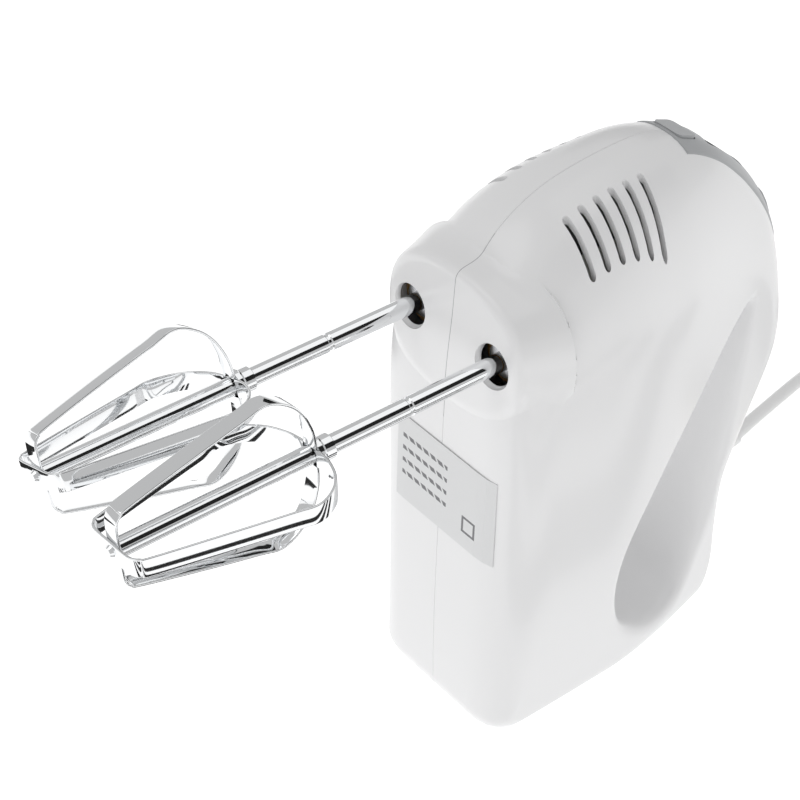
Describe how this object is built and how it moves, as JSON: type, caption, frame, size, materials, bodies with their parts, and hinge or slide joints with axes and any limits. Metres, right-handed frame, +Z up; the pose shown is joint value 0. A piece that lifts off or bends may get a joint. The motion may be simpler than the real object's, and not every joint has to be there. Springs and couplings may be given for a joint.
{
  "type": "hand mixer",
  "caption": "Electric hand mixer standing on its heel: rounded housing with a loop handle, twin intermeshing beaters driven by a worm, speed slider, turbo and eject buttons.",
  "frame": {"origin": "centre of the flat heel the mixer stands on, on the seam plane", "axes": "+Z up from the heel, -Y along the beaters away from the housing, +X to the right beater seen from behind; X = 0 is the seam between the housing halves"},
  "size_m": [0.1006, 0.4617, 0.2065],
  "materials": {
    "housing_plastic": "white glossy moulded plastic with a fine mould texture",
    "panel_plastic": "satin grey moulded plastic",
    "slider_plastic": "darker grey satin plastic with thumb ridges",
    "label_film": "thin pale grey printed film",
    "zinc_steel": "zinc-plated screw steel",
    "frame_zinc": "die-cast alloy, as cast",
    "bush_bronze": "oil-filled sintered bronze",
    "bracket_aluminium": "pressed alloy sheet",
    "lamination_steel": "stacked electrical steel, dark lacquer",
    "copper_wire": "enamelled copper wire",
    "brass_parts": "machined brass and copper",
    "carbon": "pressed carbon",
    "inner_plastic": "natural moulded plastic",
    "board": "green circuit board",
    "capacitor_case": "moulded capacitor case",
    "lead_insulation": "black flexible insulation",
    "cord_rubber": "white flexible cord sheath",
    "plug_plastic": "white moulded plug",
    "plug_brass": "nickel-plated brass pins",
    "ground_steel": "ground steel",
    "wheel_nylon": "natural nylon",
    "fan_plastic": "moulded fan",
    "spring_steel": "drawn spring wire",
    "beater_chrome": "bright chrome plate"
  },
  "bodies": {
    "housing": {"housing_right": "housing_plastic", "housing_left": "housing_plastic", "control_panel": "panel_plastic", "rating_label": "label_film", "housing_screws": "zinc_steel", "gearbox_frame": "frame_zinc", "spindle_bushes": "bush_bronze", "armature_bearings": "bush_bronze", "motor_bracket": "bracket_aluminium", "stator_core": "lamination_steel", "field_coils": "copper_wire", "stator_bolts": "zinc_steel", "brush_holders": "brass_parts", "carbon_brushes": "carbon", "speed_switch": "inner_plastic", "circuit_board": "board", "suppression_capacitor": "capacitor_case", "wiring_leads": "lead_insulation", "eject_guide": "inner_plastic", "cord_clamp": "inner_plastic", "clamp_screws": "zinc_steel", "strain_relief": "cord_rubber", "eject_spring": "spring_steel", "turbo_spring": "spring_steel", "mains_cord": "cord_rubber", "cord_coil": "cord_rubber", "cord_tail": "cord_rubber", "plug_body": "plug_plastic", "plug_pins": "plug_brass"},
    "armature": {"armature_shaft": "ground_steel", "armature_core": "lamination_steel", "armature_windings": "copper_wire", "commutator": "brass_parts", "cooling_fan": "fan_plastic", "worm": "ground_steel"},
    "spindle_right": {"spindle_right": "ground_steel", "worm_wheel_right": "wheel_nylon"},
    "spindle_left": {"spindle_left": "ground_steel", "worm_wheel_left": "wheel_nylon"},
    "beater_right": {"beater_shaft_right": "beater_chrome", "beater_outer_loop_right": "beater_chrome", "beater_inner_loop_right": "beater_chrome", "beater_collar_right": "beater_chrome", "beater_tip_rivet_right": "beater_chrome"},
    "beater_left": {"beater_shaft_left": "beater_chrome", "beater_outer_loop_left": "beater_chrome", "beater_inner_loop_left": "beater_chrome", "beater_collar_left": "beater_chrome", "beater_tip_rivet_left": "beater_chrome"},
    "eject": {"eject_button": "panel_plastic", "eject_yoke": "inner_plastic"},
    "speed": {"speed_slider": "slider_plastic"},
    "turbo": {"turbo_button": "panel_plastic"}
  },
  "joints": [
    {"name": "armature_spin", "type": "hinge", "parent": "housing", "child": "armature", "pos_m": [0, -0.029, 0.1], "axis": [0, 0, 1], "continuous": true},
    {"name": "spindle_right_spin", "type": "hinge", "parent": "housing", "child": "spindle_right", "pos_m": [0.021, 0, 0.16], "axis": [0, 1, 0], "continuous": true},
    {"name": "spindle_left_spin", "type": "hinge", "parent": "housing", "child": "spindle_left", "pos_m": [-0.021, 0, 0.16], "axis": [0, 1, 0], "continuous": true},
    {"name": "eject_press", "type": "slide", "parent": "housing", "child": "eject", "axis": [0, -1, 0], "range_m": [0, 0.006], "stiffness_N_per_m": 600, "springref_m": -0.002, "deforming": ["eject_spring"]},
    {"name": "beater_right_release", "type": "slide", "parent": "spindle_right", "child": "beater_right", "axis": [0, -1, 0], "range_m": [0, 0.006]},
    {"name": "beater_left_release", "type": "slide", "parent": "spindle_left", "child": "beater_left", "axis": [0, -1, 0], "range_m": [0, 0.006]},
    {"name": "speed_slide", "type": "slide", "parent": "housing", "child": "speed", "axis": [0, 0.7628, -0.6466], "range_m": [0, 0.012]},
    {"name": "turbo_press", "type": "slide", "parent": "housing", "child": "turbo", "axis": [0, -0.3522, -0.9359], "range_m": [0, 0.0024], "stiffness_N_per_m": 900, "springref_m": -0.001, "deforming": ["turbo_spring"]}
  ],
  "couplings": [
    {"joint": "spindle_right_spin", "follows": "armature_spin", "ratio": -0.066667},
    {"joint": "spindle_left_spin", "follows": "armature_spin", "ratio": 0.066667},
    {"joint": "beater_right_release", "follows": "eject_press", "ratio": 1},
    {"joint": "beater_left_release", "follows": "eject_press", "ratio": 1}
  ]
}
